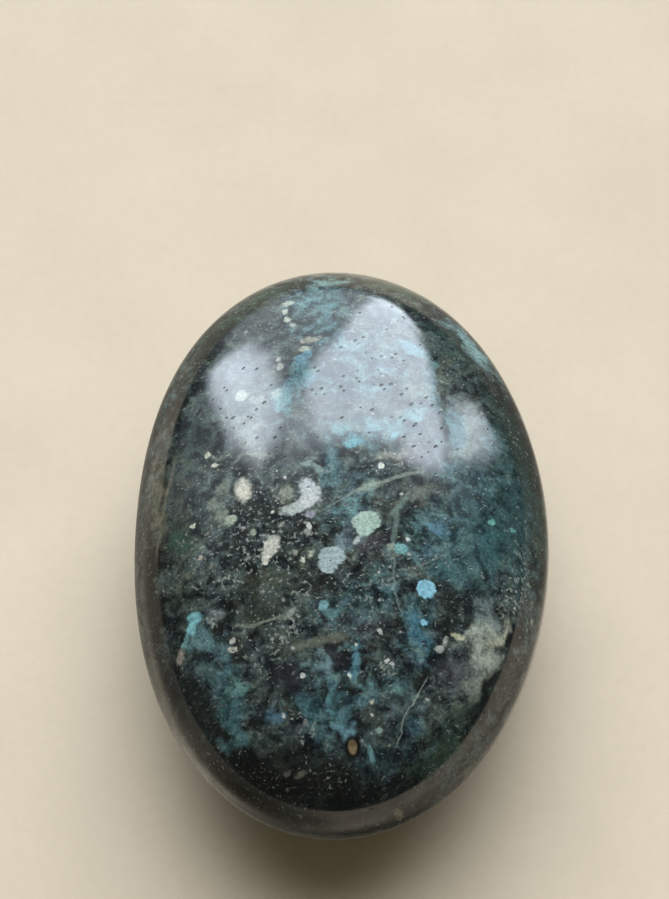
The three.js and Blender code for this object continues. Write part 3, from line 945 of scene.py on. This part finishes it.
def clouds_of_colour(place, torn, mottle, broad, teal_strength):
    """The dark stone with its olive, moss, teal and black clouds and its soft marks, one of them a painted
    reflection.
    """
    colour = ramp(mottle + (broad - 0.5) * BROAD_SHADING, MATRIX_RAMP)
    for layer in (OLIVE_LAYER, MOSS_LAYER, TEAL_LAYER._replace(strength=teal_strength), DARK_LAYER):
        colour = lay_clouds(colour, torn, mottle, layer)
    colour = lay(colour, ramp(noise(place, TINTS), TINT_RAMP), 1.0, "MULTIPLY")
    patchy = step(mottle, *PATCHINESS)
    for mark in SOFT_MARKS:
        colour = lay(colour, mark.colour, mark_cover(torn, mark) * patchy)
    return colour


def wisps_veins_and_painted_reflection(colour, place, frayed, broad):
    """Lays the thin leaning wisps, the veins and the painted reflection on the left rim."""
    wisps = step(noise(frayed, WISPS), *WISP_RANGE) * step(broad, *WISP_PLACES)
    colour = lay(colour, WISP_COLOUR, wisps * WISP_STRENGTH)
    waved = shake(place, WAVED)
    for line in VEINS_AND_PAINTED_REFLECTION:
        for mark in line_marks(line):
            colour = lay(colour, mark.colour, mark_cover(waved, mark))
    return colour


def specks_and_chips(colour, place, frayed, crowd):
    """Lays grit, blots, dots and chips. Returns the colour and where the dots lie."""
    grit = noise(place, GRIT)
    colour = lay(colour, GRIT_COLOUR, step(grit + crowd * GRIT_CROWDING, *GRIT_RANGE) * GRIT_STRENGTH)
    blots, shade = spots(frayed, BLOTS, crowd)
    colour = lay(colour, lay(BLOTS.dark, BLOTS.pale, shade), blots * BLOTS.strength)
    dots, shade = spots(place, DOTS, crowd)
    colour = lay(colour, lay(DOTS.dark, DOTS.pale, shade * shade), dots * DOTS.strength)
    crumbled = grit * CRUMBLE - CRUMBLE_BASE
    for mark in CHIPS:
        colour = lay(colour, mark.colour, mark_cover(frayed, mark, crumbled))
    return colour, dots


def polished_apatite(finish):
    """The whole finish: clouds of colour, then veins and a painted reflection, specks and chips, then pits
    and pinholes, both darkened with painted shade.
    """
    material = bpy.data.materials.new(SLOT)
    material.use_nodes = True
    tree = material.node_tree
    shader = tree.nodes["Principled BSDF"]
    shader.inputs["IOR"].default_value = APATITE_IOR

    place = Field(tree, tree.nodes.new("ShaderNodeTexCoord").outputs["Object"]) / MM
    broad = noise(place, BROAD)
    middling = noise(shake(place, SMEARED), MIDDLING)
    fine = noise(place, FINE)
    mottle = middling + (fine - 0.5) * FINE_SHARE
    torn = shake(place, TORN)
    colour = clouds_of_colour(place, torn, mottle, broad, finish.teal_strength)
    frayed = shake(place, FRAYED)
    colour = wisps_veins_and_painted_reflection(colour, place, frayed, broad)
    crowd = cloud(torn, SPECK_CLOUDS) + (broad - 0.5)
    colour, dots = specks_and_chips(colour, place, frayed, crowd)
    # The wider, dark ellipse is painted shade on the pit's walls; the tan inside is the grit's own colour.
    for mark in (TAN_PIT_DENT_AND_SHADE, TAN_PIT):
        colour = lay(colour, mark.colour, mark_cover(place, mark))
    colour = lay(colour, GRAIN, step(fine, *GRAIN_RANGE), "MULTIPLY")

    holes = pinholes(place, torn)
    # Painted shade: black is laid into the pinholes, besides their bump and roughness, as pits mirror
    # little light.
    colour = lay(colour, BLACK, holes * PINHOLE_PAINTED_SHADE)
    bump = tree.nodes.new("ShaderNodeBump")
    bump.inputs["Distance"].default_value = finish.pinhole_depth
    feed(tree, bump.inputs["Height"], 1 - holes)
    tree.links.new(bump.outputs["Normal"], shader.inputs["Normal"])

    feed(tree, shader.inputs["Base Color"], colour)
    rough = step(broad, *DULLING_RANGE, finish.polish, finish.polish * DULLING)
    feed(tree, shader.inputs["Roughness"], rough + dots * DOT_ROUGHNESS + holes * PINHOLE_ROUGHNESS)
    return material


# ---- The stage: floor, light and camera ----

# What the gloss mirrors: bright panes over a dim wall, each a convex shape. A corner is so many
# degrees round to the right from straight ahead of the camera, and so many above the horizon.
Window = namedtuple("Window", "name corners softness strength")
WINDOWS = (
    Window("haze", ((-38, 24), (-20, 34), (24, 34), (52, 16), (54, 44), (36, 56), (-28, 58), (-44, 46)),
           0.30, 1.0),
    Window("left haze", ((-64, 12), (-40, 12), (-34, 52), (-50, 54), (-64, 44)), 0.30, 0.55),
    Window("veil", ((-30, 3), (8, 3), (10, 38), (-20, 42), (-30, 30)), 0.20, 1.35),
    Window("pane", ((9, 10), (13, 9), (19, 14), (27, 25), (32, 36), (35, 46), (22, 54), (5, 56), (-3, 44),
                    (-1, 36), (4, 24)), 0.07, 7.2),
    Window("pane's edge", ((6, 9), (12, 5), (17, 8), (23, 16), (26, 24), (20, 19), (12, 12)), 0.05, 8.0),
    Window("pane's foot", ((26, 40), (34, 37), (41, 42), (43, 47), (37, 52), (26, 54)), 0.08, 7.8),
    Window("skylight", ((-13, 54), (-13, 46), (-7, 38), (0, 33), (8, 40), (8, 56), (-8, 57)), 0.10, 7.2),
    Window("link", ((-22, 42), (-12, 44), (-6, 52), (-10, 58), (-24, 57)), 0.16, 3.4),
    Window("left", ((-38, 13), (-33, 15), (-26, 20), (-21, 31), (-19, 46), (-24, 53), (-34, 53), (-41, 42),
                    (-41, 22)), 0.13, 7.4),
    Window("left's middle", ((-37, 17), (-28, 21), (-23, 33), (-28, 42), (-38, 36)), 0.14, 9.0),
    Window("right", ((41, 22), (46, 17), (51, 15), (52, 26), (49, 36), (43, 45), (38, 44), (37, 33)),
           0.12, 4.5),
)
WINDOW_TINT = (0.865, 0.98, 1.10)
# The soft light: an even part, and a brighter part from behind and above.
AMBIENT = (0.135, 0.118, 0.077)
LIGHT = (5.29, 5.25, 5.23)
LIGHT_BEARING = (3, 40)
LIGHT_SPREAD = (0.64, 1.0)
# What the gloss sees round the windows: dim walls and, in place of the floor, pale ground.
GLOSS_AMBIENT = (0.036, 0.040, 0.042)
GROUND = (0.76, 0.67, 0.53)
# Where that ground is darker. Each shade is full as far as so many degrees from its middle and gone
# from so many on.
Shade = namedtuple("Shade", "name turn height full gone strength")
SHADES = (
    Shade("the stone's own", 178, -70, 10, 38, 0.80),
    Shade("in front", -150, -22, 8, 36, 0.75),
    Shade("in front, left", -118, -12, 14, 38, 0.50),
    Shade("in front, right", 120, -50, 12, 40, 0.55),
    Shade("left", -82, -10, 10, 26, 0.50),
    Shade("behind, left", -48, -48, 8, 32, 0.65),
    Shade("behind, far left", -24, -15, 10, 30, 0.50),
    Shade("behind, right", 52, -20, 18, 41, 0.75),
    Shade("straight below", 0, -80, 8, 24, 0.65),
)
# What the camera sees past the floor, and the blur of the horizon between ground and room.
BACKDROP = (0.70, 0.66, 0.60)
HORIZON_BLUR = 0.02

# The floor's half-width in metres, and its faint clouding and grain.
FLOOR_REACH = 3.0
FLOOR_CLOUDS = Noise(16.0, 3.0)
FLOOR_CLOUDING = 0.16
FLOOR_GRAIN = Noise(1.3, 3.0, 0.6)
FLOOR_GRAINING = 0.10
FLOOR_ROUGHNESS = 0.85


def bearing(turn, height):
    """The direction that lies so many degrees round and so many degrees up."""
    return Vector((sin(radians(turn)) * cos(radians(height)),
                   cos(radians(turn)) * cos(radians(height)),
                   sin(radians(height))))


def window_mask(look, window):
    """One where a ray looks into the pane, easing to zero across its edges."""
    corners = [bearing(*corner) for corner in window.corners]
    middle = sum(corners, Vector()).normalized()
    inside = None
    for first, second in zip(corners, corners[1:] + corners[:1]):
        side = first.cross(second).normalized()
        if side.dot(middle) < 0:
            side.negate()
        depth = dot(look, tuple(side))
        inside = depth if inside is None else calculate("MINIMUM", inside, depth)
    mask = step(inside, -window.softness / 2, window.softness / 2)
    mask.socket.node.label = window.name
    return mask


def ground_light(look):
    """What the gloss sees below the horizon, in place of the floor."""
    level = 1.0
    for shade in SHADES:
        nearness = dot(look, tuple(bearing(shade.turn, shade.height)))
        rim, core = cos(radians(shade.gone)), cos(radians(shade.full))
        darkening = step(nearness, rim, core, 1.0, 1 - shade.strength)
        darkening.socket.node.label = shade.name
        level = darkening * level
    return vector_of(look.tree, *GROUND) * level


def light_world():
    """Soft light from behind the stone. Only its gloss looks into the windows themselves."""
    world = bpy.data.worlds.new("Window Light")
    bpy.context.scene.world = world
    world.use_nodes = True
    tree = world.node_tree
    look = Field(tree, tree.nodes.new("ShaderNodeTexCoord").outputs["Generated"])
    path = tree.nodes.new("ShaderNodeLightPath")
    seen = Field(tree, path.outputs["Is Camera Ray"])
    glow = step(dot(look, tuple(bearing(*LIGHT_BEARING))), *LIGHT_SPREAD)
    soft = (vector_of(tree, *LIGHT) * glow + AMBIENT) * (1 - seen) + vector_of(tree, *BACKDROP) * seen
    softly = tree.nodes["Background"]
    feed(tree, softly.inputs["Color"], soft)
    panes = most_of(window_mask(look, window) * window.strength for window in WINDOWS)
    room = vector_of(tree, *WINDOW_TINT) * panes + GLOSS_AMBIENT
    ground = ground_light(look)
    above = step(parts_of(look)[2], -HORIZON_BLUR, HORIZON_BLUR)
    sharply = tree.nodes.new("ShaderNodeBackground")
    feed(tree, sharply.inputs["Color"], lay(ground, room, above))
    either = tree.nodes.new("ShaderNodeMixShader")
    tree.links.new(path.outputs["Is Glossy Ray"], either.inputs["Fac"])
    tree.links.new(softly.outputs[0], either.inputs[1])
    tree.links.new(sharply.outputs[0], either.inputs[2])
    tree.links.new(either.outputs[0], tree.nodes["World Output"].inputs["Surface"])


def pale_floor(colour):
    """Plain pale stone, hardly clouded and hardly grainy."""
    material = bpy.data.materials.new("pale_slab")
    material.use_nodes = True
    tree = material.node_tree
    shader = tree.nodes["Principled BSDF"]
    place = Field(tree, tree.nodes.new("ShaderNodeTexCoord").outputs["Object"]) / MM
    clouding = (noise(place, FLOOR_CLOUDS) - 0.5) * FLOOR_CLOUDING
    graining = (noise(place, FLOOR_GRAIN) - 0.5) * FLOOR_GRAINING
    feed(tree, shader.inputs["Base Color"], vector_of(tree, *colour) * (clouding + graining + 1.0))
    shader.inputs["Roughness"].default_value = FLOOR_ROUGHNESS
    return material


def make_floor(colour):
    """A wide flat floor that the gloss doesn't see, because the world gives it its own ground."""
    mesh = bpy.data.meshes.new("floor")
    corners = [(x * FLOOR_REACH, y * FLOOR_REACH, 0.0) for x, y in ((-1, -1), (1, -1), (1, 1), (-1, 1))]
    mesh.from_pydata(corners, [], [(0, 1, 2, 3)])
    mesh.materials.append(pale_floor(colour))
    floor = bpy.data.objects.new("floor", mesh)
    bpy.context.scene.collection.objects.link(floor)
    floor.visible_glossy = False


# The form's own centre, which the camera was placed from, against the middle of the box's base.
FORM_CENTRE = Vector((-0.25, -0.19, 11.88)) * MM
# How far the camera aims above and to the left of that centre.
AIM_UP = radians(3.26)
AIM_LEFT = radians(0.192)
# In millimetres, as the lens is.
SENSOR_WIDTH = 36.0
CAMERA_CLIP = (1 * MM, 4 * FLOOR_REACH)


def place_camera(stage):
    """Looks down on the stone from its near end, through a slightly long lens."""
    data = bpy.data.cameras.new("camera")
    data.sensor_width = SENSOR_WIDTH
    data.lens = stage.camera_lens
    data.clip_start, data.clip_end = CAMERA_CLIP
    camera = bpy.data.objects.new("camera", data)
    bpy.context.scene.collection.objects.link(camera)
    back = Vector((0.0, -cos(stage.camera_elevation), sin(stage.camera_elevation)))
    pitch = stage.camera_elevation - AIM_UP
    turn = Matrix.Rotation(pi / 2 - pitch, 4, "X") @ Matrix.Rotation(AIM_LEFT, 4, "Y")
    camera.matrix_world = Matrix.Translation(FORM_CENTRE + back * stage.camera_distance) @ turn
    bpy.context.scene.camera = camera


# ---- Operators, panel and registration ----


class APATITE_OT_palm_stone(bpy.types.Operator):
    """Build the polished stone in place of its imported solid"""

    bl_idname = "apatite.palm_stone"
    bl_label = "Palm Stone"

    def execute(self, context):
        stone = make_stone(context.scene.stone_form, polished_apatite(context.scene.stone_finish))
        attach(stone, BODY)
        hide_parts(NODE)
        return {"FINISHED"}


class APATITE_OT_stage(bpy.types.Operator):
    """Build the floor, the light and the camera"""

    bl_idname = "apatite.stage"
    bl_label = "Stage"

    def execute(self, context):
        stage = context.scene.stone_stage
        make_floor(stage.floor_colour)
        light_world()
        place_camera(stage)
        context.scene.view_settings.view_transform = "Standard"
        return {"FINISHED"}


class VIEW3D_PT_palm_stone(bpy.types.Panel):
    bl_label = "Palm Stone"
    bl_space_type = "VIEW_3D"
    bl_region_type = "UI"
    bl_category = "Palm Stone"

    def draw(self, context):
        for operator in OPERATORS:
            self.layout.operator(operator.bl_idname)
        for group in (context.scene.stone_form, context.scene.stone_finish, context.scene.stone_stage):
            box = self.layout.box()
            for name in group.__annotations__:
                box.prop(group, name)


OPERATORS = (APATITE_OT_stage, APATITE_OT_palm_stone)
CLASSES = (StoneFormSettings, StoneFinishSettings, StageSettings, *OPERATORS, VIEW3D_PT_palm_stone)


def register():
    for made in CLASSES:
        bpy.utils.register_class(made)
    bpy.types.Scene.stone_form = PointerProperty(type=StoneFormSettings)
    bpy.types.Scene.stone_finish = PointerProperty(type=StoneFinishSettings)
    bpy.types.Scene.stone_stage = PointerProperty(type=StageSettings)


def unregister():
    del bpy.types.Scene.stone_stage
    del bpy.types.Scene.stone_finish
    del bpy.types.Scene.stone_form
    for made in reversed(CLASSES):
        bpy.utils.unregister_class(made)


def main():
    register()
    bpy.ops.apatite.stage()
    bpy.ops.apatite.palm_stone()


if __name__ == "__main__":
    main()
